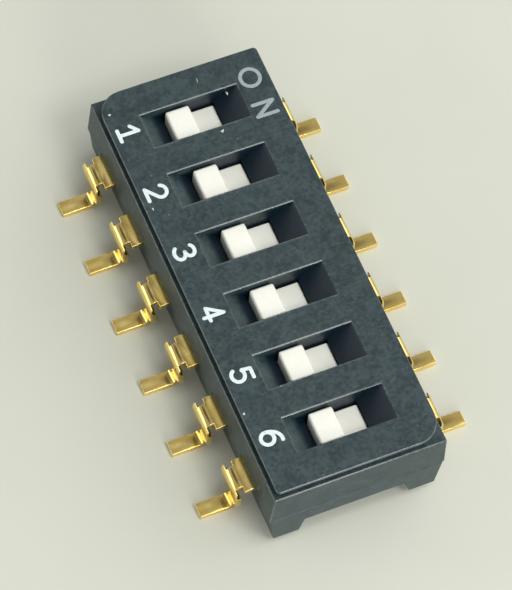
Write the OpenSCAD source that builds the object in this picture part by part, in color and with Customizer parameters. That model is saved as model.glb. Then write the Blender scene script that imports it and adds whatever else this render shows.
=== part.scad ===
// Surface-mount DIP slide switch with six positions.
// X runs across the body from the number side to the ON side, and Y along the row, with position 1 at +Y.
// Z runs up from the board, which touches the soles of the terminals at Z = 0.

/* [Body] */
// Distance between neighbouring positions
pitch = 2.54; // [2.4:0.02:3.2]
// Distance from the centre of an end position to the end of the body
end_margin = 1.95; // [1.6:0.05:2.6]
// Width of the cover at the seam
body_w = 6.5; // [6:0.1:8]
// Height of the top face above the board
top_z = 3.7; // [3.5:0.05:4.6]
// Height of the seam between base and cover above the board
seam_z = 1.7; // [1.5:0.05:1.9]
// Gap between the board and the underside of the base
standoff = 0.28; // [0.1:0.02:0.4]
// How far the cover stands out past the base at the seam
seam_step = 0.05; // [0.02:0.01:0.1]
// Lean of each long wall of the cover, from seam to rim
cover_draft = 0.08; // [0:0.01:0.1]
// Lean of each long wall of the base, from seam to underside
base_draft = 0.18; // [0:0.02:0.3]
// Width of the channel under the base, at its mouth
channel_w = 4.1; // [3:0.1:4.6]
// Depth of the channel under the base
channel_d = 0.7; // [0.3:0.05:0.9]
// Lean of each wall of the channel, from its mouth to its top
channel_draft = 0.17; // [0:0.01:0.3]

/* [Top plate] */
// Height of the top face above the rim of the walls
plate_rise = 0.4; // [0.25:0.05:0.5]
// Thickness of the plate's edge above the shadow groove
plate_edge = 0.15; // [0.08:0.01:0.2]
// Depth of the shadow groove under the plate's edge
groove_d = 0.22; // [0.1:0.02:0.3]
// Set-back of the plate from the rim along the long sides
plate_side = 0.09; // [0.04:0.01:0.2]
// Set-back of the plate from the rim at the ends
plate_end = 0.06; // [0.04:0.01:0.2]
// Radius of the two index corners of the plate
index_r = 0.9; // [0.4:0.05:1.1]
// Radius of the plate's other two corners
corner_r = 0.15; // [0.05:0.01:0.3]

/* [Slots] */
// Length of a slot at the top face
slot_l = 3.74; // [3.5:0.02:4.2]
// Width of a slot
slot_w = 1.38; // [1.1:0.02:1.6]
// Depth of a slot from the top face to its floor
slot_d = 0.75; // [0.6:0.01:0.85]
// Upright lip below each slope
ramp_lip = 0.05; // [0.03:0.01:0.1]

/* [Sliders] */
// Travel of a slider from OFF to ON
travel = 0.94; // [0.75:0.01:1.15]
// Length of the nub
nub_l = 0.92; // [0.8:0.02:1]
// Length of the low step beside the nub
step_l = 0.98; // [0.86:0.02:1.1]
// Depth of the nub's top below the top face
nub_drop = 0.2; // [0:0.02:0.3]
// Radius along the nub's upper edges
nub_r = 0.12; // [0.04:0.01:0.16]
// Radius of the nub's upright corners
nub_corner_r = 0.17; // [0.06:0.01:0.25]
// Radius along the low step's upper edges
step_r = 0.06; // [0.03:0.01:0.1]
// Radius of the low step's upright corners
step_corner_r = 0.1; // [0.04:0.01:0.15]
// How far the flange reaches past the stem on each side
flange_w = 0.25; // [0.15:0.01:0.3]
// Height of the stem between the flange and the low step
stem_h = 0.4; // [0.3:0.02:0.45]
// Room beside the stem in its slot, and beside the flange in its chamber
slide_clear = 0.06; // [0.03:0.01:0.1]
// Room between the flange and the ledge that it slides under
glide_gap = 0.02; // [0.01:0.01:0.05]
// Room past the nub and the flange at each end of their travel
stop_clear = 0.04; // [0.02:0.01:0.08]

/* [Moving contacts] */
// Thickness of the contact strip
contact_t = 0.1; // [0.06:0.01:0.12]
// Width of the contact strip
contact_w = 0.8; // [0.5:0.02:0.9]
// Distance between the two rows of contact feet
foot_span = 1.3; // [1.1:0.02:1.34]
// Gap that splits each end of the strip into two fingers
fork_gap = 0.2; // [0.1:0.02:0.3]
// Height of the slider's flange above the contact pads
flange_lift = 0.1; // [0.05:0.01:0.15]
// Depth of the pocket that holds the strip
pocket_d = 0.36; // [0.3:0.02:0.4]
// Room round the strip in its pocket
pocket_clear = 0.06; // [0.03:0.01:0.08]
// How far each pad reaches past the middle of the contact feet that rest on it
pad_lap = 0.08; // [0.06:0.01:0.15]
// Gap between the contact feet and the pads
touch_gap = 0.01; // [0.01:0.01:0.03]

/* [Terminals] */
// Thickness of the terminal strip
term_t = 0.22; // [0.15:0.01:0.25]
// Width of the strip at the body and on the leg
term_w = 1.27; // [1:0.01:1.5]
// Width of the neck and the foot
foot_w = 0.54; // [0.3:0.02:0.7]
// Width of the contact pad inside the body
pad_w = 0.8; // [0.6:0.02:1]
// Distance from the number side's wall to the outer face of the upper bend
leg_out_left = 0.71; // [0.5:0.01:0.85]
// Distance from the ON side's wall to the outer face of the upper bend
leg_out_right = 0.57; // [0.5:0.01:0.85]
// Distance from either wall to the start of the foot's flat
heel_reach = 0.77; // [0.65:0.01:0.95]
// Distance from the cover's wall to the tip of the foot
tip_out = 1.75; // [1.5:0.05:2.2]
// Fall of the strip from the wall to the upper bend, in degrees
shoulder_fall = 6; // [0:1:10]
// Inner radius of the upper bend
knee_r = 0.11; // [0.06:0.01:0.2]
// Inner radius of the bend above the foot
heel_r = 0.18; // [0.1:0.01:0.22]
// Share of the leg that has the full width
wide_share = 0.8; // [0.5:0.05:0.85]
// Radius of the lower corners of the wide part
wide_r = 0.28; // [0.1:0.02:0.35]
// Width of the relief notch at each edge of the upper bend
relief_w = 0.26; // [0.15:0.01:0.3]
// Depth of the relief notch, across the strip
relief_d = 0.22; // [0.08:0.01:0.26]
// Place of the relief notch across the bend, as a share of the bend's outer radius
relief_place = 0.33; // [0.2:0.01:0.45]
// Radius under the tip of the foot
tip_r = 0.12; // [0.05:0.01:0.14]
// Room beside a terminal where it leaves the cover
notch_side = 0.08; // [0.05:0.01:0.15]

/* [Fits] */
// Thickness of the cover's skirt round the base's plug
skirt_t = 0.45; // [0.35:0.05:0.6]
// Room round the plug inside the skirt, and above the terminals where they leave the cover
plug_clear = 0.03; // [0.01:0.01:0.05]
// Room beside a contact pad in its groove
pad_clear = 0.02; // [0.01:0.01:0.05]

/* [Hidden] */
positions = 6;
$fn = 48;

// A cut runs this far past the face that it opens
past = 0.2;

body_l = (positions - 1) * pitch + 2 * end_margin;
half_w = body_w / 2;
half_l = body_l / 2;
rim_half_w = half_w - cover_draft;
rim_z = top_z - plate_rise;
plate_z = top_z - plate_edge;

floor_z = top_z - slot_d;
lip_z = floor_z + ramp_lip;
slot_half = slot_l / 2;
// The slopes end where the nub does at either end of its travel
floor_half = (travel + nub_l) / 2 + stop_clear;
ramp_slope = (slot_half - floor_half) / (top_z - lip_z);

stem_w = slot_w - 2 * slide_clear;
flange_full_w = stem_w + 2 * flange_w;
chamber_w = flange_full_w + 2 * slide_clear;
step_z = floor_z - slide_clear;
flange_top = step_z - stem_h;
ledge_z = flange_top + glide_gap;
nub_z = top_z - nub_drop;

slider_x0 = -(travel + nub_l) / 2;
slider_x1 = slider_x0 + nub_l + step_l;
slider_mid = (slider_x0 + slider_x1) / 2;
// The flange reaches far enough back to close the slot's floor behind the nub at ON
flange_x0 = slider_x0 - travel;
chamber_x1 = slider_x1 + travel + stop_clear;

plug_half_w = half_w - skirt_t - plug_clear;
plug_half_l = half_l - skirt_t - plug_clear;
pad_top = seam_z + term_t;
flange_bottom = pad_top + flange_lift;
pocket_top = flange_bottom + pocket_d;

// The contact strip's middle line drops by two quarter turns of this radius
contact_r = (pocket_top - pad_top - touch_gap - contact_t) / 2;
contact_flat = foot_span / 2 - 2 * contact_r;
contact_curl = 30;
contact_reach = foot_span / 2 + (contact_r + contact_t / 2) * sin(contact_curl);

// The number side's pad lies under both feet at OFF, and the ON side's pad meets the outer feet at ON only
left_pad_end = slider_mid + foot_span / 2 + pad_lap;
right_pad_end = slider_mid + travel + foot_span / 2 - pad_lap;

knee_out = knee_r + term_t;
leg_top = pad_top - knee_out;
heel_out = heel_r + term_t;
heel_x = half_w + heel_reach;
tip_x = half_w + tip_out;
shoulder_x = plug_half_w + pad_clear;
wide_z = leg_top - wide_share * (leg_top - heel_out);
// Largest turn between two points of a bend
bend_step = 6;

function row_y(i) = ((positions + 1) / 2 - i) * pitch;

// Places its children at the centre of position i
module at(i) {
    translate([0, row_y(i), 0]) children();
}

// Extrudes an outline drawn in X and Z evenly to both sides of the plane Y = 0
module across(width) {
    rotate([90, 0, 0]) linear_extrude(height = width, center = true) children();
}

// Block between two corners
module block(low, high) {
    translate(low) cube(high - low);
}

// Part of a ring between two radii, from angle a0 to angle a1
module ring_part(inner, outer, a0, a1) {
    far = 2 * outer;
    middle = (a0 + a1) / 2;
    intersection() {
        difference() {
            circle(r = outer);
            circle(r = inner);
        }
        polygon([
            [0, 0],
            far * [cos(a0), sin(a0)],
            far * [cos(middle), sin(middle)],
            far * [cos(a1), sin(a1)]
        ]);
    }
}

// Rectangle about the origin with one radius for each pair of opposite corners
module plate_outline(half_x, half_y, falling_r, rising_r) {
    corners = [[-1, 1, falling_r], [1, -1, falling_r], [1, 1, rising_r], [-1, -1, rising_r]];
    difference() {
        square([2 * half_x, 2 * half_y], center = true);
        for (c = corners)
            translate([c[0] * half_x, c[1] * half_y]) square(2 * c[2], center = true);
    }
    for (c = corners)
        translate([c[0] * (half_x - c[2]), c[1] * (half_y - c[2])]) circle(r = c[2]);
}

// Slot from the top face to its floor, with a slope at each end
module slot_cut() {
    across(slot_w) polygon([
        [-floor_half, floor_z],
        [floor_half, floor_z],
        [floor_half, lip_z],
        [slot_half + past * ramp_slope, top_z + past],
        [-slot_half - past * ramp_slope, top_z + past],
        [-floor_half, lip_z]
    ]);
}

// Room that a slider moves in: wide for the flange, narrow for the stem
module chamber_cut() {
    block([flange_x0 - stop_clear, -chamber_w / 2, seam_z], [chamber_x1, chamber_w / 2, ledge_z]);
    block([-floor_half, -slot_w / 2, seam_z], [chamber_x1, slot_w / 2, floor_z]);
}

// Openings in both long walls of the cover for one pair of terminals
module notch_cut() {
    notch_half = term_w / 2 + notch_side;
    reach = half_w + past;
    block([-reach, -notch_half, seam_z - past], [reach, notch_half, pad_top + plug_clear]);
}

// Walls, neck and top plate of the cover, before its cuts
module cover_form() {
    plate_x = rim_half_w - plate_side;
    plate_y = half_l - plate_end;
    across(body_l) polygon([
        [-half_w, seam_z],
        [half_w, seam_z],
        [rim_half_w, rim_z],
        [-rim_half_w, rim_z]
    ]);
    translate([0, 0, seam_z]) linear_extrude(height = plate_z - seam_z + plate_edge / 2)
        plate_outline(plate_x - groove_d, plate_y - groove_d, index_r - groove_d, corner_r);
    translate([0, 0, plate_z]) linear_extrude(height = plate_edge)
        plate_outline(plate_x, plate_y, index_r, corner_r);
}

module cover() {
    skirt_x = plug_half_w + plug_clear;
    skirt_y = plug_half_l + plug_clear;
    color("#34393c") difference() {
        cover_form();
        block([-skirt_x, -skirt_y, seam_z - past], [skirt_x, skirt_y, pad_top + plug_clear]);
        for (i = [1 : positions]) at(i) {
            slot_cut();
            chamber_cut();
            notch_cut();
        }
    }
}

module base() {
    top_half = half_w - seam_step;
    foot_half = top_half - base_draft;
    mouth_half = channel_w / 2;
    crown_half = mouth_half - channel_draft;
    channel_top = standoff + channel_d;
    color("#2f3336") difference() {
        union() {
            across(body_l) polygon([
                [-foot_half, standoff],
                [-mouth_half, standoff],
                [-crown_half, channel_top],
                [crown_half, channel_top],
                [mouth_half, standoff],
                [foot_half, standoff],
                [top_half, seam_z],
                [-top_half, seam_z]
            ]);
            block([-plug_half_w, -plug_half_l, channel_top], [plug_half_w, plug_half_l, pad_top]);
        }
        for (i = [1 : positions]) at(i) {
            groove_half = pad_w / 2 + pad_clear;
            left_end = left_pad_end + pad_clear;
            right_end = right_pad_end - pad_clear;
            block([-half_w, -groove_half, seam_z], [left_end, groove_half, top_z]);
            block([right_end, -groove_half, seam_z], [half_w, groove_half, top_z]);
        }
    }
}

// Upright rectangle on the X axis with its two upper corners rounded
module soft_side(width, tall, r) {
    flat = width - 2 * r;
    translate([-width / 2, 0]) square([width, tall - r]);
    translate([-flat / 2, 0]) square([flat, tall]);
    for (side = [-1, 1])
        translate([side * flat / 2, tall - r]) circle(r = r);
}

// Block of the stem's width between x0 and x1, with rounded upper edges and upright corners
module soft_block(x0, x1, low, high, edge_r, upright_r) {
    length = x1 - x0;
    tall = high - low;
    translate([x0 + length / 2, 0, low]) intersection() {
        linear_extrude(height = tall) plate_outline(length / 2, stem_w / 2, upright_r, upright_r);
        across(stem_w) soft_side(length, tall, edge_r);
        rotate([0, 0, 90]) across(length) soft_side(stem_w, tall, edge_r);
    }
}

module slider(i) {
    pocket_half_l = contact_reach + pocket_clear;
    pocket_half_w = contact_w / 2 + pocket_clear;
    flange_half = flange_full_w / 2;
    nub_x1 = slider_x0 + nub_l;
    color("#f2f0ea") at(i) difference() {
        union() {
            block([flange_x0, -flange_half, flange_bottom], [slider_x1, flange_half, flange_top]);
            soft_block(slider_x0, nub_x1, flange_bottom, nub_z, nub_r, nub_corner_r);
            soft_block(slider_x0 + nub_l / 2, slider_x1, flange_bottom, step_z, step_r, step_corner_r);
        }
        translate([slider_mid, 0, 0]) block(
            [-pocket_half_l, -pocket_half_w, flange_bottom - past],
            [pocket_half_l, pocket_half_w, pocket_top]
        );
    }
}

// One half of the contact strip seen from the side: flat top, down over a quarter turn, and a curled foot
module contact_arm() {
    inner = contact_r - contact_t / 2;
    outer = contact_r + contact_t / 2;
    top = pocket_top - contact_t;
    middle = top + contact_t / 2 - contact_r;
    translate([0, top]) square([contact_flat, contact_t]);
    translate([contact_flat, middle]) ring_part(inner, outer, 0, 90);
    translate([foot_span / 2, middle]) ring_part(inner, outer, 180, 270);
    translate([foot_span / 2, middle]) ring_part(inner, outer, 270, 270 + contact_curl);
}

module contact(i) {
    color("#c8a34c") at(i) translate([slider_mid, 0, 0]) difference() {
        for (side = [0, 1])
            mirror([side, 0, 0]) across(contact_w) contact_arm();
        for (side = [0, 1])
            mirror([side, 0, 0])
                block([contact_flat, -fork_gap / 2, seam_z], [contact_reach + past, fork_gap / 2, top_z]);
    }
}

// Points on an arc about c, from angle a0 to angle a1
function arc(c, r, a0, a1) =
    let (steps = ceil(abs(a1 - a0) / bend_step))
    [for (k = [0 : steps]) let (a = a0 + (a1 - a0) * k / steps) c + r * [cos(a), sin(a)]];

// Lean of a leg toward the body: its outer face touches the knee on one side and the heel on the other
function lean(knee, heel) =
    let (line = knee - heel)
    90 - atan2(line[1], line[0]) + asin((knee_out + heel_r) / norm(line));

// Centre of the upper bend, which the falling strip runs into without a step
function knee_centre(x) =
    let (run = x + knee_out * sin(shoulder_fall) - half_w)
    [x, pad_top - run * tan(shoulder_fall) - knee_out * cos(shoulder_fall)];

// Side view of the bent strip, along its outer face to the tip of the foot and back along its inner face
module strip_outline(pad_x, knee) {
    heel = [heel_x, heel_out];
    turn = 90 - shoulder_fall;
    leg_lean = lean(knee, heel);
    polygon(concat(
        [[pad_x, pad_top], [half_w, pad_top]],
        arc(knee, knee_out, turn, -leg_lean),
        arc(heel, heel_r, 180 - leg_lean, 270),
        [[tip_x, term_t]],
        arc([tip_x - tip_r, tip_r], tip_r, 0, -90),
        arc(heel, heel_out, 270, 180 - leg_lean),
        arc(knee, knee_r, -leg_lean, turn),
        [[half_w - term_t * tan(shoulder_fall / 2), seam_z], [pad_x, seam_z]]
    ));
}

// Front view of the strip outside the body: wide leg with round lower corners, then the neck and the foot
module front_outline() {
    straight_w = term_w - 2 * wide_r;
    translate([-term_w / 2, wide_z + wide_r]) square([term_w, top_z]);
    translate([-straight_w / 2, wide_z]) square([straight_w, top_z]);
    for (side = [-1, 1])
        translate([side * straight_w / 2, wide_z + wide_r]) circle(r = wide_r);
    translate([-foot_w / 2, -past]) square([foot_w, top_z]);
}

// Relief notch in the upper bend, open at its top, at the edge on the +Y side
module relief_cut(knee) {
    depth = relief_d + past;
    translate([0, term_w / 2 - relief_d + depth / 2, 0]) across(depth)
        translate(knee + [relief_place * knee_out, 0]) {
            circle(r = relief_w / 2);
            translate([-relief_w / 2, 0]) square([relief_w, top_z]);
        }
}

// Terminal on the ON side, with its pad starting at pad_x, on the plane Y = 0
module terminal(pad_x, leg_out) {
    knee = knee_centre(half_w + leg_out - knee_out);
    color("#cda84e") difference() {
        intersection() {
            across(term_w + past) strip_outline(pad_x, knee);
            union() {
                translate([shoulder_x, 0, 0]) rotate([90, 0, 90])
                    linear_extrude(height = tip_x) front_outline();
                block([pad_x - past, -pad_w / 2, 0], [shoulder_x + past, pad_w / 2, top_z]);
            }
        }
        for (side = [0, 1])
            mirror([0, side, 0]) relief_cut(knee);
    }
}

module terminal_left(i) {
    at(i) mirror([1, 0, 0]) terminal(-left_pad_end, leg_out_left);
}

module terminal_right(i) {
    at(i) terminal(right_pad_end, leg_out_right);
}

base();
cover();
for (i = [1 : positions]) {
    slider(i);
    contact(i);
    terminal_left(i);
    terminal_right(i);
}
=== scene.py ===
"""Looks of a surface-mount slide switch with six positions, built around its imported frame."""

import logging
import math
from dataclasses import dataclass
from enum import Enum
from typing import Any, Callable, Sequence

import bpy
import numpy as np
from mathutils import Matrix, Vector


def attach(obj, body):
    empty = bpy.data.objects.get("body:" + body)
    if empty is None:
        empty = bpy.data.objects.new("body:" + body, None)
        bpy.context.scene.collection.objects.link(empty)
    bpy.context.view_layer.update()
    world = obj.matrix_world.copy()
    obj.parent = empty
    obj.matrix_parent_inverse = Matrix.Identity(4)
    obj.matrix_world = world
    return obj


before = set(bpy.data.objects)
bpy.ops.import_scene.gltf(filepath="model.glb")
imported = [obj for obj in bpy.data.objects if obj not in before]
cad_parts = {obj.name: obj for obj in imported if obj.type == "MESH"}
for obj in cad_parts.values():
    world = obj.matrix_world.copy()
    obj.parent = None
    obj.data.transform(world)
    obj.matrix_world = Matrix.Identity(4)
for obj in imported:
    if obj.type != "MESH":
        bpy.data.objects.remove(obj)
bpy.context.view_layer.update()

MM = 0.001
POSITIONS = 6
PITCH = 2.54
TOP_Z = 3.7
HOUSING = "housing"
# Squared half width and half length of the field that the slots lie in, in square millimetres
SLOT_FIELD_SQ = (4.5, 55.0)
# Points closer than this are one, in metres
WELD_M = 1e-7
# Faces that meet at less than this angle become one
FLAT_RAD = 0.005

Colour = tuple[float, float, float]
log = logging.getLogger("switch")


def row_y(position: int) -> float:
    """Y of the centre of a position, in millimetres, position 1 lying farthest along +Y."""
    return ((POSITIONS + 1) / 2 - position) * PITCH


class Signal:
    """A value that varies over a surface. Arithmetic on it adds Math nodes to its graph."""

    def __init__(self, graph: "Graph", socket: bpy.types.NodeSocket) -> None:
        """Wrap one output socket of a graph."""
        self.graph = graph
        self.socket = socket

    def _join(self, operation: str, first: Any, second: Any) -> "Signal":
        """Add one Math node.

        Args:
            operation: the Math node's operation.
            first: its first operand.
            second: its second operand.

        Returns:
            The node's result.
        """
        node = self.graph.node("ShaderNodeMath", {"operation": operation}, {0: first, 1: second})
        return Signal(self.graph, node.outputs[0])

    def __add__(self, other: Any) -> "Signal":
        """Sum."""
        return self._join("ADD", self, other)

    def __radd__(self, other: Any) -> "Signal":
        """Sum with a number on the left."""
        return self._join("ADD", other, self)

    def __sub__(self, other: Any) -> "Signal":
        """Difference."""
        return self._join("SUBTRACT", self, other)

    def __rsub__(self, other: Any) -> "Signal":
        """Difference from a number on the left."""
        return self._join("SUBTRACT", other, self)

    def __mul__(self, other: Any) -> "Signal":
        """Product."""
        return self._join("MULTIPLY", self, other)

    def __rmul__(self, other: Any) -> "Signal":
        """Product with a number on the left."""
        return self._join("MULTIPLY", other, self)

    def __gt__(self, other: Any) -> "Signal":
        """1 where this value is the greater one, else 0."""
        return self._join("GREATER_THAN", self, other)

    def __lt__(self, other: Any) -> "Signal":
        """1 where this value is the smaller one, else 0."""
        return self._join("LESS_THAN", self, other)

    def span(self, low: float, high: float) -> "Signal":
        """Smooth step between two values, which may also fall.

        Args:
            low: value at which the result is 0.
            high: value at which it is 1, above or below low.

        Returns:
            The step.
        """
        node = self.graph.node(
            "ShaderNodeMapRange",
            {"interpolation_type": "SMOOTHSTEP"},
            {"Value": self, "From Min": low, "From Max": high},
        )
        return Signal(self.graph, node.outputs[0])


class Graph:
    """A node tree with short ways to add nodes and links."""

    def __init__(self, tree: bpy.types.NodeTree) -> None:
        """Wrap a tree."""
        self.tree = tree

    def node(
        self,
        kind: str,
        settings: dict[str, Any] | None = None,
        sockets: dict[str | int, Any] | None = None,
    ) -> bpy.types.Node:
        """Add a node.

        Args:
            kind: the node's type.
            settings: its own properties, set before its sockets.
            sockets: a number, a colour, a Signal or an output socket for each input.

        Returns:
            The new node.
        """
        made = self.tree.nodes.new(kind)
        for name, value in (settings or {}).items():
            setattr(made, name, value)
        for key, value in (sockets or {}).items():
            if isinstance(value, Signal):
                value = value.socket
            if isinstance(value, bpy.types.NodeSocket):
                self.tree.links.new(value, made.inputs[key])
            else:
                made.inputs[key].default_value = value
        return made

    def place(self, stretch: Colour = (1.0, 1.0, 1.0)) -> bpy.types.NodeSocket:
        """Object coordinates.

        Args:
            stretch: factor along each axis.

        Returns:
            The coordinates' socket.
        """
        spot = self.node("ShaderNodeTexCoord")
        turn = self.node("ShaderNodeMapping", None, {"Vector": spot.outputs["Object"], "Scale": stretch})
        return turn.outputs["Vector"]

    def noise(self, grain_mm: float, detail: float = 2.0, stretch: Colour = (1.0, 1.0, 1.0)) -> Signal:
        """Cloudy noise.

        Args:
            grain_mm: about how far across its lumps are.
            detail: octaves of finer noise.
            stretch: factor on the coordinates along each axis.

        Returns:
            The noise, about 0 to 1.
        """
        made = self.node(
            "ShaderNodeTexNoise",
            None,
            {
                "Vector": self.place(stretch),
                "Scale": 1 / (grain_mm * MM),
                "Detail": detail,
                "Roughness": 0.6,
            },
        )
        return Signal(self, made.outputs[0])

    def painted_slot_shade(self, top_mm: float) -> Signal:
        """Painted shade inside the slots under a top face.

        It is the product of a step that starts just under the face, one that sets in higher up at larger X
        so that the painted shade is deeper on the slopes at that end, and the field that the slots lie in.

        Args:
            top_mm: height of the face.

        Returns:
            1 deep inside the slots, and 0 outside them.
        """
        split = self.node("ShaderNodeSeparateXYZ", None, {0: self.place()})
        x, y, z = (Signal(self, axis) * (1 / MM) for axis in split.outputs)
        inside = (SLOT_FIELD_SQ[0] > x * x) * (SLOT_FIELD_SQ[1] > y * y)
        under = z.span(top_mm - 0.004, top_mm - 0.03)
        deep = (z - x * 0.13).span(top_mm - 0.05, top_mm - 0.35)
        return under * deep * inside

    def specks(self, spacing_mm: float, radius: float, share: float) -> Signal:
        """Scattered round specks.

        Args:
            spacing_mm: mean distance between cells.
            radius: a speck's radius as a share of a cell.
            share: share of the cells that hold one.

        Returns:
            1 in a speck, else 0.
        """
        made = self.node(
            "ShaderNodeTexVoronoi",
            None,
            {"Vector": self.place(), "Scale": 1 / (spacing_mm * MM)},
        )
        split = self.node("ShaderNodeSeparateColor", None, {0: made.outputs["Color"]})
        chosen = Signal(self, split.outputs[0]) > 1 - share
        return Signal(self, made.outputs["Distance"]).span(radius, radius / 2) * chosen

    def mix(self, share: Any, first: Any, second: Any) -> bpy.types.NodeSocket:
        """Blend of two colours.

        Args:
            share: how far the blend has gone, from 0 to 1.
            first: colour at 0.
            second: colour at 1.

        Returns:
            The blend's socket.
        """
        ends = [(*c, 1.0) if isinstance(c, tuple) else c for c in (first, second)]
        made = self.node("ShaderNodeMix", {"data_type": "RGBA"}, {0: share, 6: ends[0], 7: ends[1]})
        return made.outputs[2]

    def bump(self, height: Signal, depth_mm: float) -> bpy.types.NodeSocket:
        """Normal of a surface whose relief is height times depth_mm."""
        made = self.node("ShaderNodeBump", None, {"Height": height, "Distance": depth_mm * MM})
        return made.outputs[0]


class Finish:
    """A named surface finish. Its graph is filled in by the finishes below."""

    name: str

    def material(self) -> bpy.types.Material:
        """Make the material, or return the one made before.

        Returns:
            The finish's material.
        """
        known = bpy.data.materials.get(self.name)
        if known:
            return known
        made = bpy.data.materials.new(self.name)
        made.use_nodes = True
        made.node_tree.nodes.clear()
        graph = Graph(made.node_tree)
        shader = graph.node("ShaderNodeBsdfPrincipled", None, self.sockets(graph))
        graph.node("ShaderNodeOutputMaterial", None, {0: shader.outputs[0]})
        return made

    def sockets(self, graph: Graph) -> dict[str | int, Any]:
        """Values and links of the shader's sockets."""
        raise NotImplementedError


@dataclass(frozen=True)
class MouldedPlastic(Finish):
    """Dark filled plastic: mottled, finely grained, with a few pale specks and hairline scratches, and where
    asked painted shade inside the slots.
    """

    name: str
    dark: Colour
    light: Colour
    speck: Colour
    rough: float
    relief: float = 0.01
    ior: float = 1.5
    # Colour of the painted shade inside the slots, or None for no painted shade.
    painted_slot_shade: Colour | None = None
    cloud_mm: float = 0.55
    grain_mm: float = 0.13
    hair_mm: float = 0.06
    speck_mm: float = 0.34

    def sockets(self, graph: Graph) -> dict[str | int, Any]:
        """Values and links of the shader's sockets.

        Args:
            graph: the material's graph.

        Returns:
            A value or link for each socket that isn't left alone.
        """
        cloud = graph.noise(self.cloud_mm, 4.0)
        grain = graph.noise(self.grain_mm, 3.0)
        hair = graph.noise(self.hair_mm, 1.0, (0.1, 1.0, 1.0)).span(0.66, 0.74)
        tone = (cloud * 0.42 + grain * 0.58).span(0.36, 0.64)
        dots = graph.specks(self.speck_mm, 0.12, 0.05)
        colour = graph.mix(dots * 0.6 + hair * 0.12, graph.mix(tone, self.dark, self.light), self.speck)
        # Painted shade: the slots' inner faces are darkened towards this colour.
        if self.painted_slot_shade:
            colour = graph.mix(graph.painted_slot_shade(TOP_Z), colour, self.painted_slot_shade)
        return {
            "Base Color": colour,
            "Roughness": self.rough + (grain - 0.5) * 0.3,
            "Normal": graph.bump(grain * 0.7 + graph.noise(0.05) * 0.3, self.relief),
            "IOR": self.ior,
        }


@dataclass(frozen=True)
class WhitePlastic(Finish):
    """Semi-gloss warm white plastic with faint clouds."""

    name: str
    pale: Colour
    warm: Colour
    rough: float
    cloud_mm: float = 0.6
    fine_mm: float = 0.08

    def sockets(self, graph: Graph) -> dict[str | int, Any]:
        """Values and links of the shader's sockets.

        Args:
            graph: the material's graph.

        Returns:
            A value or link for each socket that isn't left alone.
        """
        cloud = graph.noise(self.cloud_mm, 3.0)
        fine = graph.noise(self.fine_mm, 2.0)
        return {
            "Base Color": graph.mix(cloud.span(0.35, 0.7), self.pale, self.warm),
            "Roughness": self.rough + (fine - 0.5) * 0.2,
            "Normal": graph.bump(fine, 0.003),
            "IOR": 1.5,
        }


@dataclass(frozen=True)
class GoldPlate(Finish):
    """Gold plate over rolled strip: fine lines along the strip, uneven gloss and small stains."""

    name: str
    bright: Colour
    deep: Colour
    rough: float
    line_mm: float = 0.05
    cloud_mm: float = 0.4

    def sockets(self, graph: Graph) -> dict[str | int, Any]:
        """Values and links of the shader's sockets.

        Args:
            graph: the material's graph.

        Returns:
            A value or link for each socket that isn't left alone.
        """
        lines = graph.noise(self.line_mm, 2.0, (0.12, 1.0, 0.12))
        cloud = graph.noise(self.cloud_mm, 3.0)
        return {
            "Base Color": graph.mix(cloud.span(0.35, 0.68), self.bright, self.deep),
            "Metallic": 1.0,
            "Roughness": self.rough + (lines - 0.5) * 0.08 + (cloud - 0.5) * 0.1,
            "Normal": graph.bump(lines, 0.001),
        }


@dataclass(frozen=True)
class PrintInk(Finish):
    """Pad-printed ink, slightly uneven in cover."""

    name: str
    full: Colour
    thin: Colour
    cover_mm: float = 0.12

    def sockets(self, graph: Graph) -> dict[str | int, Any]:
        """Values and links of the shader's sockets.

        Args:
            graph: the material's graph.

        Returns:
            A value or link for each socket that isn't left alone.
        """
        cover = graph.noise(self.cover_mm, 3.0)
        return {
            "Base Color": graph.mix(cover.span(0.4, 0.7), self.full, self.thin),
            "Roughness": 0.55 + (cover - 0.5) * 0.2,
            "Normal": graph.bump(cover, 0.003),
        }


@dataclass(frozen=True)
class PaleSheet(Finish):
    """Matte pale table top with a faint tooth."""

    name: str
    pale: Colour
    grey: Colour
    cloud_mm: float = 9.0

    def sockets(self, graph: Graph) -> dict[str | int, Any]:
        """Values and links of the shader's sockets.

        Args:
            graph: the material's graph.

        Returns:
            A value or link for each socket that isn't left alone.
        """
        cloud = graph.noise(self.cloud_mm, 3.0)
        return {
            "Base Color": graph.mix(cloud.span(0.3, 0.7), self.pale, self.grey),
            "Roughness": 0.6 + (cloud - 0.5) * 0.1,
        }


COVER_BLACK = MouldedPlastic(
    "cover_black_moulded",
    dark=(0.014, 0.03, 0.035),
    light=(0.04, 0.066, 0.071),
    speck=(0.2, 0.23, 0.24),
    rough=0.46,
    # Painted shade: the slots' inner faces are darkened to this colour.
    painted_slot_shade=(0.0, 0.01, 0.02),
)
BASE_BLACK = MouldedPlastic(
    "base_black_moulded",
    dark=(0.017, 0.034, 0.039),
    light=(0.044, 0.07, 0.076),
    speck=(0.2, 0.22, 0.22),
    rough=0.42,
)
# Finish of the cover's rounded edges: glossier than the cover, and its lighter colour and specks are a
# painted highlight along the edges.
COVER_EDGE_PAINTED_HIGHLIGHT = MouldedPlastic(
    "cover_edge_painted_highlight",
    dark=(0.02, 0.04, 0.045),
    light=(0.07, 0.095, 0.1),
    speck=(0.4, 0.43, 0.44),
    rough=0.23,
    relief=0.003,
    ior=1.8,
)
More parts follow.
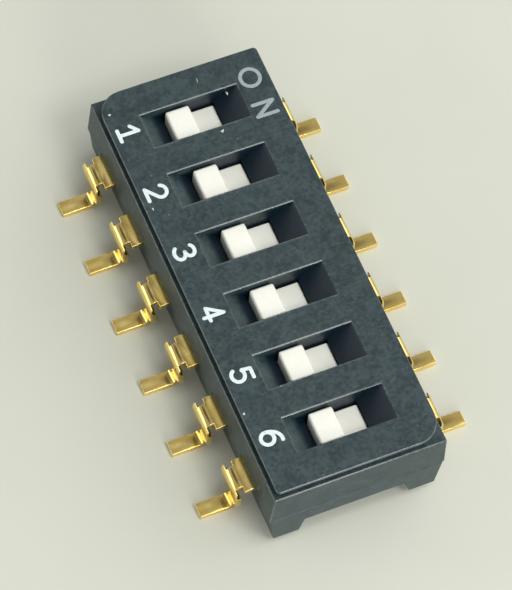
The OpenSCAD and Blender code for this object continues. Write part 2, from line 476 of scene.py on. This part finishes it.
# Finish of the base's rounded edges: glossier than the base, and its slightly lighter colour is a painted
# highlight along the edges.
BASE_EDGE_PAINTED_HIGHLIGHT = MouldedPlastic(
    "base_edge_painted_highlight",
    dark=(0.02, 0.038, 0.043),
    light=(0.05, 0.077, 0.083),
    speck=(0.2, 0.22, 0.22),
    rough=0.36,
    relief=0.003,
)
SLIDER_WHITE = WhitePlastic("slider_white_moulded", (0.95, 0.955, 0.88), (0.92, 0.925, 0.83), 0.34)
TERMINAL_GOLD = GoldPlate("terminal_gold_plate", (0.955, 0.74, 0.28), (0.89, 0.64, 0.18), 0.15)
CONTACT_GOLD = GoldPlate("contact_gold_plate", (0.9, 0.68, 0.3), (0.82, 0.58, 0.22), 0.2)
NUMERAL_INK = PrintInk("numeral_ink", (0.78, 0.87, 0.88), (0.68, 0.77, 0.79))
ON_INK = PrintInk("on_ink", (0.34, 0.4, 0.43), (0.27, 0.33, 0.36))
LINT_WHITE = PrintInk("lint_white", (0.62, 0.66, 0.67), (0.4, 0.44, 0.45))
TABLE = PaleSheet("pale_table", (0.65, 0.67, 0.585), (0.63, 0.65, 0.565))


class NodeShape:
    """Geometry nodes for the frame's meshes: one group marks edges to round, the other sets the shading."""

    def __init__(
        self,
        full_deg: float,
        crease_deg: float,
        slight: float,
        top_mm: float,
        lower: float,
    ) -> None:
        """Make both groups.

        Args:
            full_deg: outer edges at which faces meet at more than this angle are rounded to the full width.
            crease_deg: edges at which they meet at more than this angle stay sharp in the shading.
            slight: share of the width that outer edges between the two angles are rounded to.
            top_mm: height above which the slots' rims get worn most.
            lower: share of the width that all other edges are rounded to.
        """
        self.full = math.radians(full_deg)
        self.crease = math.radians(crease_deg)
        self.slight = slight
        self.top = top_mm
        self.lower = lower
        self.mark = self._group("mark_outer_edges", self._marked)
        self.shade = self._group("smooth_shading", self._shaded)

    def _group(self, name: str, fill: Callable[[Graph, Any], Any]) -> bpy.types.NodeTree:
        """Make a group.

        Args:
            name: the group's name.
            fill: adds its nodes after an input socket, and returns the socket that holds the result.

        Returns:
            The group.
        """
        tree = bpy.data.node_groups.new(name, "GeometryNodeTree")
        tree.interface.new_socket("Geometry", in_out="INPUT", socket_type="NodeSocketGeometry")
        tree.interface.new_socket("Geometry", in_out="OUTPUT", socket_type="NodeSocketGeometry")
        graph = Graph(tree)
        source = graph.node("NodeGroupInput")
        graph.node("NodeGroupOutput", None, {0: fill(graph, source.outputs[0])})
        return tree

    def _sharper(self, graph: Graph, output: int, limit: float) -> Signal:
        """1 on edges whose angle, by output 0 unsigned and by output 1 signed, is above a limit."""
        return Signal(graph, graph.node("GeometryNodeInputMeshEdgeAngle").outputs[output]) > limit

    def _marked(self, graph: Graph, source: Any) -> Any:
        """Store each edge's share of the rounding's width as its bevel weight.

        Args:
            graph: the group's graph.
            source: socket of the geometry that comes in.

        Returns:
            Socket of the geometry with the weights.
        """
        full, slight = self._sharper(graph, 1, self.full), self._sharper(graph, 1, self.crease)
        place = graph.node("GeometryNodeInputPosition").outputs[0]
        split = graph.node("ShaderNodeSeparateXYZ", None, {0: place})
        x, y, z = (Signal(graph, axis) * (1 / MM) for axis in split.outputs)
        rim = (z > self.top) * (SLOT_FIELD_SQ[0] > x * x) * (SLOT_FIELD_SQ[1] > y * y)
        outer = (full * (1 - self.slight) + slight * self.slight) * (self.lower + rim * (1 - self.lower))
        made = graph.node(
            "GeometryNodeStoreNamedAttribute",
            {"data_type": "FLOAT", "domain": "EDGE"},
            {"Geometry": source, "Name": "bevel_weight_edge", "Value": outer},
        )
        return made.outputs[0]

    def _shaded(self, graph: Graph, source: Any) -> Any:
        """Drop the stored normals and shade smoothly, except across sharp edges.

        Args:
            graph: the group's graph.
            source: socket of the geometry that comes in.

        Returns:
            Socket of the shaded geometry.
        """
        bare = graph.node("GeometryNodeRemoveAttribute", None, {"Geometry": source, "Name": "custom_normal"})
        faces = graph.node(
            "GeometryNodeSetShadeSmooth",
            {"domain": "FACE"},
            {"Geometry": bare.outputs[0], "Shade Smooth": True},
        )
        soft = 1 - self._sharper(graph, 0, self.crease)
        edges = graph.node(
            "GeometryNodeSetShadeSmooth",
            {"domain": "EDGE"},
            {"Geometry": faces.outputs[0], "Shade Smooth": soft},
        )
        return edges.outputs[0]


NODE_SHAPE = NodeShape(full_deg=60.0, crease_deg=35.0, slight=0.02, top_mm=TOP_Z - 0.05, lower=0.54)


def soften(piece: bpy.types.Object, edge_mm: float, steps: int = 3, edge_slot: int = -1) -> None:
    """Round a piece's outer sharp edges.

    Args:
        piece: a node of the frame.
        edge_mm: width of the rounding at the slots' rims.
        steps: faces across the rounding.
        edge_slot: material slot of the rounding, or -1 for that of the faces beside it.
    """
    weld = piece.modifiers.new("weld", "WELD")
    weld.merge_threshold = WELD_M
    flat = piece.modifiers.new("whole_faces", "DECIMATE")
    flat.decimate_type = "DISSOLVE"
    flat.angle_limit = FLAT_RAD
    mark = piece.modifiers.new("mark_edges", "NODES")
    mark.node_group = NODE_SHAPE.mark
    bevel = piece.modifiers.new("soft_edges", "BEVEL")
    bevel.limit_method = "WEIGHT"
    bevel.width = edge_mm * MM
    bevel.segments = steps
    bevel.use_clamp_overlap = False
    bevel.material = edge_slot
    shade = piece.modifiers.new("smooth", "NODES")
    shade.node_group = NODE_SHAPE.shade
    level = piece.modifiers.new("flat_faces", "WEIGHTED_NORMAL")
    level.keep_sharp = True


def wear(piece: bpy.types.Object, *finishes: Finish) -> None:
    """Give a piece its finishes, the first of them all over.

    Args:
        piece: a piece with a mesh.
        finishes: one for each material slot, in order.
    """
    piece.data.materials.clear()
    for finish in finishes:
        piece.data.materials.append(finish.material())


def mesh_piece(
    name: str,
    points: np.ndarray,
    faces: list[Sequence[int]],
    finish: Finish,
) -> bpy.types.Object:
    """Make an object from points and faces.

    Args:
        name: the object's name.
        points: n rows of x, y and z in millimetres.
        faces: corner numbers of each face, outward side counterclockwise.
        finish: what it wears.

    Returns:
        The object, at the origin.
    """
    mesh = bpy.data.meshes.new(name)
    mesh.from_pydata((points * MM).tolist(), [], faces)
    mesh.polygons.foreach_set("use_smooth", np.ones(len(faces), bool))
    mesh.update()
    piece = bpy.data.objects.new(name, mesh)
    bpy.context.scene.collection.objects.link(piece)
    wear(piece, finish)
    return piece


def grid_faces(rings: int, around: int, closed: bool, first: int) -> list[Sequence[int]]:
    """Faces of a tube of rings.

    Args:
        rings: how many rings lie along the tube.
        around: points on each ring.
        closed: whether the last ring joins the first. If not, a face closes each end.
        first: number of the tube's first point.

    Returns:
        Corner numbers of the faces.
    """
    spans = rings if closed else rings - 1
    i, j = np.meshgrid(np.arange(spans), np.arange(around), indexing="ij")
    here, on = i * around, (i + 1) % rings * around
    side = (j + 1) % around
    quads = np.stack([here + j, on + j, on + side, here + side], -1).reshape(-1, 4) + first
    faces: list[Sequence[int]] = quads.tolist()
    if not closed:
        end = np.arange(around)
        faces += [(end + first).tolist(), (end[::-1] + first + (rings - 1) * around).tolist()]
    return faces


@dataclass(frozen=True)
class Line:
    """A straight stretch of a stroke, in shares of the sign's width and height."""

    start: tuple[float, float]
    end: tuple[float, float]

    def points(self) -> np.ndarray:
        """Points along the line, evenly spaced."""
        t = np.linspace(0.0, 1.0, 24)[:, None]
        return (1 - t) * np.array(self.start) + t * np.array(self.end)


@dataclass(frozen=True)
class Arc:
    """A stretch of an ellipse, in shares of the sign's width and height, between two angles in degrees."""

    centre: tuple[float, float]
    radii: tuple[float, float]
    start: float
    end: float

    def points(self) -> np.ndarray:
        """Points along the arc: centre plus radii times cosine and sine."""
        a = np.radians(np.linspace(self.start, self.end, 73))
        return np.array(self.centre) + np.array(self.radii) * np.stack([np.cos(a), np.sin(a)], -1)


Stroke = tuple[Line | Arc, ...]


class Sign(Enum):
    """The printed signs, each as strokes of a round pen."""

    ONE = ((Line((0.04, 0), (0.96, 0)),), (Line((0.5, 0), (0.5, 1)),), (Line((0.5, 1), (-0.03, 0.67)),))
    TWO = (
        (Arc((0.5, 0.7), (0.47, 0.3), 165, -40), Line((0.86, 0.507), (0.03, 0))),
        (Line((0.03, 0), (1, 0)),),
    )
    THREE = ((Arc((0.47, 0.76), (0.43, 0.24), 150, -90),), (Arc((0.47, 0.26), (0.5, 0.26), 90, -150),))
    FOUR = ((Line((0.68, 0), (0.68, 1)),), (Line((0.68, 1), (0, 0.25)),), (Line((0, 0.25), (1, 0.25)),))
    FIVE = (
        (Line((0.93, 1), (0.22, 1)),),
        (Line((0.22, 1), (0.15, 0.57)), Arc((0.47, 0.32), (0.49, 0.32), 130, -150)),
    )
    SIX = ((Arc((0.5, 0.32), (0.47, 0.32), 0, 360),), (Arc((0.78, 0.34), (0.75, 0.66), 182, 80),))
    O = ((Arc((0.5, 0.5), (0.5, 0.5), 0, 360),),)
    N = ((Line((0, 0), (0, 1)),), (Line((0, 1), (1, 0)),), (Line((1, 0), (1, 1)),))


@dataclass(frozen=True)
class Pen:
    """The printed line: its half width, its height over the face and the powers that shape its section."""

    half_w: float = 0.068
    rise: float = 0.006
    sink: float = 0.003
    around: int = 16
    spacing: float = 0.012
    side_power: float = 0.7
    crown_power: float = 0.6

    def bead(self, path: np.ndarray, closed: bool) -> np.ndarray:
        """Low bead of ink along a path on the top face.

        At a distance d from the nearer end of the path the bead is half_w * sqrt(1 - (1 - d / half_w)^2) to
        each side, and half_w farther in, so its ends are round. Its section is an ellipse whose cosine and
        sine are raised to the two powers, which flattens the crown.

        Args:
            path: points along the middle of the line, in millimetres.
            closed: whether the path is a loop.

        Returns:
            Rings of points, in millimetres.
        """
        if not closed:
            out = [path[0] - path[1], path[-1] - path[-2]]
            ends = [e / np.linalg.norm(e) * self.half_w for e in out]
            path = np.vstack([path[0] + ends[0], path, path[-1] + ends[1]])
        run = np.concatenate([[0.0], np.cumsum(np.linalg.norm(np.diff(path, axis=0), axis=1))])
        count = max(40, int(run[-1] / self.spacing))
        s = np.linspace(0.0, run[-1], count, endpoint=not closed)
        line = np.stack([np.interp(s, run, path[:, k]) for k in (0, 1)], -1)
        if closed:
            along = np.roll(line, -1, 0) - np.roll(line, 1, 0)
            wide = np.ones(count)
        else:
            along = np.gradient(line, axis=0)
            inner = np.clip(np.minimum(s, run[-1] - s) / self.half_w, 0.004, 1.0)
            wide = np.sqrt(1 - (1 - inner) ** 2)
        along /= np.linalg.norm(along, axis=1, keepdims=True)
        left = np.stack([-along[:, 1], along[:, 0]], -1)
        a = np.linspace(0.0, 2 * math.pi, self.around, endpoint=False)
        flat = np.sign(np.cos(a)) * np.abs(np.cos(a)) ** self.side_power
        crown = np.sign(np.sin(a)) * np.abs(np.sin(a)) ** self.crown_power
        tall = np.where(np.sin(a) > 0, self.rise, self.sink) * crown
        side = self.half_w * wide[:, None] * flat
        ground = line[:, None, :] + left[:, None, :] * side[:, :, None]
        height = TOP_Z + np.sqrt(wide)[:, None] * tall
        return np.concatenate([ground, height[:, :, None]], -1)


@dataclass(frozen=True)
class PrintedSign:
    """One sign on the top face, whose own up is +X and whose reading direction is -Y."""

    name: str
    sign: Sign
    centre: tuple[float, float]
    width: float
    height: float
    ink: PrintInk
    pen: Pen = Pen()

    def build(self) -> bpy.types.Object:
        """Make the sign's beads as one piece.

        Returns:
            The piece, riding on the housing.
        """
        points: list[np.ndarray] = []
        faces: list[Sequence[int]] = []
        first = 0
        for stroke in self.sign.value:
            path = np.vstack([part.points() for part in stroke])
            path = path[np.concatenate([[True], np.linalg.norm(np.diff(path, axis=0), axis=1) > 1e-6])]
            closed = bool(np.linalg.norm(path[0] - path[-1]) < 1e-6)
            path = path[:-1] if closed else path
            across = self.centre[1] - (path[:, 0] - 0.5) * self.width
            up = self.centre[0] + (path[:, 1] - 0.5) * self.height
            placed = np.stack([up, across], -1)
            if closed:
                placed = np.vstack([placed, placed[:1]])
            rings = self.pen.bead(placed, closed)
            points.append(rings.reshape(-1, 3))
            faces += grid_faces(len(rings), self.pen.around, closed, first)
            first += rings.shape[0] * rings.shape[1]
        piece = mesh_piece(self.name, np.vstack(points), faces, self.ink)
        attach(piece, HOUSING)
        return piece


@dataclass(frozen=True)
class Marks:
    """All printed signs: a numeral beside each slot, and the word at the ON side."""

    numeral_x: float = -2.46
    numeral_dy: float = 0.15
    numeral_w: float = 0.5
    numeral_h: float = 0.72
    o_centre: tuple[float, float] = (2.39, 7.11)
    o_size: tuple[float, float] = (0.72, 0.7)
    n_centre: tuple[float, float] = (2.4, 5.76)
    n_size: tuple[float, float] = (0.5, 0.76)

    def build(self) -> list[bpy.types.Object]:
        """Make every sign.

        Returns:
            The pieces.
        """
        digits = (Sign.ONE, Sign.TWO, Sign.THREE, Sign.FOUR, Sign.FIVE, Sign.SIX)
        signs = [
            PrintedSign(
                f"numeral_{k}",
                digit,
                (self.numeral_x, row_y(k) + self.numeral_dy),
                self.numeral_w,
                self.numeral_h,
                NUMERAL_INK,
            )
            for k, digit in enumerate(digits, 1)
        ]
        signs.append(PrintedSign("word_on_first", Sign.O, self.o_centre, *self.o_size, ON_INK))
        signs.append(PrintedSign("word_on_second", Sign.N, self.n_centre, *self.n_size, ON_INK))
        return [sign.build() for sign in signs]


@dataclass(frozen=True)
class Fleck:
    """A grain of pale lint lying on the housing: a low lumpy ellipsoid."""

    name: str
    centre: tuple[float, float, float]
    half: tuple[float, float, float]
    turn_deg: float

    def build(self) -> bpy.types.Object:
        """Make the grain.

        A point at longitude a and latitude b is the ellipsoid's, times 1 + 0.18 sin(3a + 1) cos(2b).

        Returns:
            The piece, riding on the housing.
        """
        around, rings = 20, 11
        a = np.linspace(0.0, 2 * math.pi, around, endpoint=False)
        b = np.linspace(-1.5, 1.5, rings)[:, None]
        lump = 1 + 0.18 * np.sin(3 * a + 1) * np.cos(2 * b)
        x = lump * np.cos(b) * np.cos(a) * self.half[0]
        y = lump * np.cos(b) * np.sin(a) * self.half[1]
        z = np.sin(b) * self.half[2] * np.ones_like(a)
        c, s = math.cos(math.radians(self.turn_deg)), math.sin(math.radians(self.turn_deg))
        points = np.stack([c * x - s * y, s * x + c * y, z], -1) + np.array(self.centre)
        faces = [tuple(reversed(f)) for f in grid_faces(rings, around, False, 0)]
        piece = mesh_piece(self.name, points.reshape(-1, 3), faces, LINT_WHITE)
        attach(piece, HOUSING)
        return piece


FLECKS = (
    Fleck("lint_1", (0.6, 7.66, TOP_Z + 0.003), (0.01, 0.09, 0.005), -8.0),
    Fleck("lint_2", (0.634, 5.43, TOP_Z + 0.01), (0.07, 0.045, 0.03), 30.0),
    Fleck("lint_3", (-2.82, 7.43, TOP_Z + 0.006), (0.05, 0.04, 0.02), 0.0),
    Fleck("lint_4", (-2.97, -5.06, TOP_Z + 0.006), (0.05, 0.04, 0.02), 40.0),
    Fleck("lint_5", (-2.83, 3.39, TOP_Z + 0.004), (0.025, 0.055, 0.012), 10.0),
    Fleck("lint_6", (1.46, 6.96, TOP_Z - 0.29), (0.035, 0.075, 0.03), 0.0),
)


@dataclass(frozen=True)
class Housing:
    """The two mouldings of the body."""

    edge: float = 0.078

    def dress(self) -> list[bpy.types.Object]:
        """Round the edges of base and cover and give them their finish.

        Returns:
            The pieces.
        """
        pieces = []
        # The second finish goes on the roundings; its lighter colour is a painted highlight along the edges.
        for name, face, edge in (("cover", COVER_BLACK, COVER_EDGE_PAINTED_HIGHLIGHT), ("base", BASE_BLACK, BASE_EDGE_PAINTED_HIGHLIGHT)):
            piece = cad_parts[name]
            soften(piece, self.edge, edge_slot=1)
            wear(piece, face, edge)
            pieces.append(piece)
        return pieces


@dataclass(frozen=True)
class Actuators:
    """The sliders and the contacts that they carry."""

    edge: float = 0.024
    contact_edge: float = 0.029

    def dress(self) -> list[bpy.types.Object]:
        """Round the sliders' edges and give sliders and contacts their finishes.

        Returns:
            The pieces.
        """
        pieces = []
        for k in range(1, POSITIONS + 1):
            slider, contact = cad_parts[f"slider_{k}"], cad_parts[f"contact_{k}"]
            soften(slider, self.edge)
            soften(contact, self.contact_edge)
            wear(slider, SLIDER_WHITE)
            wear(contact, CONTACT_GOLD)
            pieces += [slider, contact]
        return pieces


@dataclass(frozen=True)
class Terminals:
    """The two rows of formed leads."""

    edge: float = 0.036

    def dress(self) -> list[bpy.types.Object]:
        """Round the sheared edges and give the leads their plate.

        Returns:
            The pieces.
        """
        pieces = []
        for side in ("left", "right"):
            for k in range(1, POSITIONS + 1):
                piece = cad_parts[f"terminal_{side}_{k}"]
                soften(piece, self.edge)
                wear(piece, TERMINAL_GOLD)
                pieces.append(piece)
        return pieces


@dataclass(frozen=True)
class SoftLamp:
    """A square soft lamp that faces the origin."""

    name: str
    toward: Colour
    share: float
    size: float
    distance: float = 0.35
    colour: Colour = (1.0, 0.99, 0.97)

    def hang(self) -> None:
        """Hang the lamp so that it gives its share of the light that a table renders its own colour in."""
        aim = Vector(self.toward).normalized()
        lamp = bpy.data.lights.new(self.name, "AREA")
        lamp.size = self.size
        lamp.energy = self.share * math.pi**2 * self.distance**2 / aim.z
        lamp.color = self.colour
        stand = bpy.data.objects.new(self.name, lamp)
        stand.location = aim * self.distance
        stand.rotation_euler = aim.to_track_quat("Z", "Y").to_euler()
        bpy.context.scene.collection.objects.link(stand)


@dataclass(frozen=True)
class SkyCard:
    """A round patch of the sky that is brighter or darker than the rest by its gain."""

    toward: Colour
    full_deg: float
    fade_deg: float
    gain: float

    def shine(self, graph: Graph, spot: bpy.types.NodeSocket) -> Signal:
        """What the card adds to the sky.

        Args:
            graph: the world's graph.
            spot: direction from the origin.

        Returns:
            The gain within full_deg of the card's middle, falling to 0 at fade_deg.
        """
        near = graph.node(
            "ShaderNodeVectorMath",
            {"operation": "DOT_PRODUCT"},
            {0: spot, 1: Vector(self.toward).normalized()},
        )
        edges = (math.cos(math.radians(angle)) for angle in (self.fade_deg, self.full_deg))
        return Signal(graph, near.outputs["Value"]).span(*edges) * self.gain


@dataclass(frozen=True)
class Studio:
    """Table, lights and camera."""

    lamps: tuple[SoftLamp, ...] = (
        SoftLamp("key", (0.66, -0.3, 0.68), 0.19, 0.3),
        SoftLamp("front", (0.22, -0.5, 0.84), 0.19, 0.1),
        SoftLamp("top", (0.15, -0.12, 0.98), 0.16, 0.12),
        SoftLamp("near", (0.0, -0.95, 0.31), 0.13, 0.18),
    )
    camera_mm: Colour = (-34.459, -60.21, 127.73)
    azimuth: float = -29.61
    elevation: float = 61.23
    roll: float = 7.61
    focal_px: float = 4133.1
    frame_px: float = 512.0
    sensor: float = 36.0
    clip: tuple[float, float] = (0.001, 10.0)
    table_half: float = 900.0
    table_cells: int = 8
    sky_colour: tuple[float, float, float, float] = (1.0, 1.0, 0.985, 1.0)
    low_sky: float = 0.9
    high_sky: float = 0.42
    sky_turn: tuple[float, float] = (0.12, 0.42)
    cards: tuple[SkyCard, ...] = (
        SkyCard((-0.28, 0.42, 0.86), 8.0, 19.0, -0.32),
        SkyCard((-0.02, 0.42, 0.9), 3.0, 8.0, 0.25),
        SkyCard((0.27, 0.42, 0.87), 5.0, 12.0, -0.24),
        SkyCard((0.78, 0.42, 0.42), 12.0, 24.0, 1.2),
        SkyCard((-0.9, 0.43, 0.05), 10.0, 24.0, 1.9),
        SkyCard((0.2, 0.95, 0.25), 12.0, 28.0, 0.3),
    )

    def table(self) -> None:
        """Lay the pale table under the soles, as a flat square grid of faces."""
        row = self.table_cells + 1
        line = np.linspace(-self.table_half, self.table_half, row)
        x, y = np.meshgrid(line, line, indexing="ij")
        i, j = np.meshgrid(np.arange(row - 1), np.arange(row - 1), indexing="ij")
        corner = i * row + j
        faces = np.stack([corner, corner + row, corner + row + 1, corner + 1], -1).reshape(-1, 4).tolist()
        points = np.stack([x, y, np.zeros_like(x)], -1).reshape(-1, 3)
        mesh_piece("table", points, faces, TABLE)

    def sky(self) -> None:
        """Soft light from all round, brightest at the horizon, with a few cards for the metal to mirror."""
        world = bpy.data.worlds.new("studio")
        world.use_nodes = True
        world.node_tree.nodes.clear()
        graph = Graph(world.node_tree)
        spot = graph.node("ShaderNodeTexCoord").outputs["Generated"]
        height = Signal(graph, graph.node("ShaderNodeSeparateXYZ", None, {0: spot}).outputs[2])
        level = self.low_sky - height.span(*self.sky_turn) * (self.low_sky - self.high_sky)
        for card in self.cards:
            level = level + card.shine(graph, spot)
        light = graph.node("ShaderNodeBackground", None, {"Color": self.sky_colour, "Strength": level})
        graph.node("ShaderNodeOutputWorld", None, {0: light.outputs[0]})
        bpy.context.scene.world = world

    def camera(self) -> None:
        """Put the camera where the picture was taken from."""
        a, e, r = (math.radians(v) for v in (self.azimuth, self.elevation, self.roll))
        back = Vector((math.sin(a) * math.cos(e), -math.cos(a) * math.cos(e), math.sin(e)))
        level = Vector((0, 0, 1)).cross(back).normalized()
        right = math.cos(r) * level + math.sin(r) * back.cross(level)
        up = back.cross(right)
        lens = bpy.data.cameras.new("camera")
        lens.sensor_fit = "HORIZONTAL"
        lens.sensor_width = self.sensor
        lens.lens = self.sensor * self.focal_px / self.frame_px
        lens.clip_start, lens.clip_end = self.clip
        eye = bpy.data.objects.new("camera", lens)
        turn = Matrix((right, up, back)).transposed().to_4x4()
        eye.matrix_world = Matrix.Translation(Vector(self.camera_mm) * MM) @ turn
        bpy.context.scene.collection.objects.link(eye)
        bpy.context.scene.camera = eye

    def build(self) -> None:
        """Set up everything that isn't part of the switch."""
        self.table()
        self.sky()
        for lamp in self.lamps:
            lamp.hang()
        self.camera()
        bpy.context.scene.view_settings.view_transform = "Standard"


def main() -> None:
    """Dress the frame, add the print and the lint, and set up the studio."""
    logging.basicConfig(level=logging.INFO, format="%(name)s: %(message)s")
    pieces = Housing().dress() + Actuators().dress() + Terminals().dress() + Marks().build()
    pieces += [fleck.build() for fleck in FLECKS]
    for piece in pieces:
        log.info("%s wears %s", piece.name, piece.data.materials[0].name)
    Studio().build()


if __name__ == "__main__":
    main()
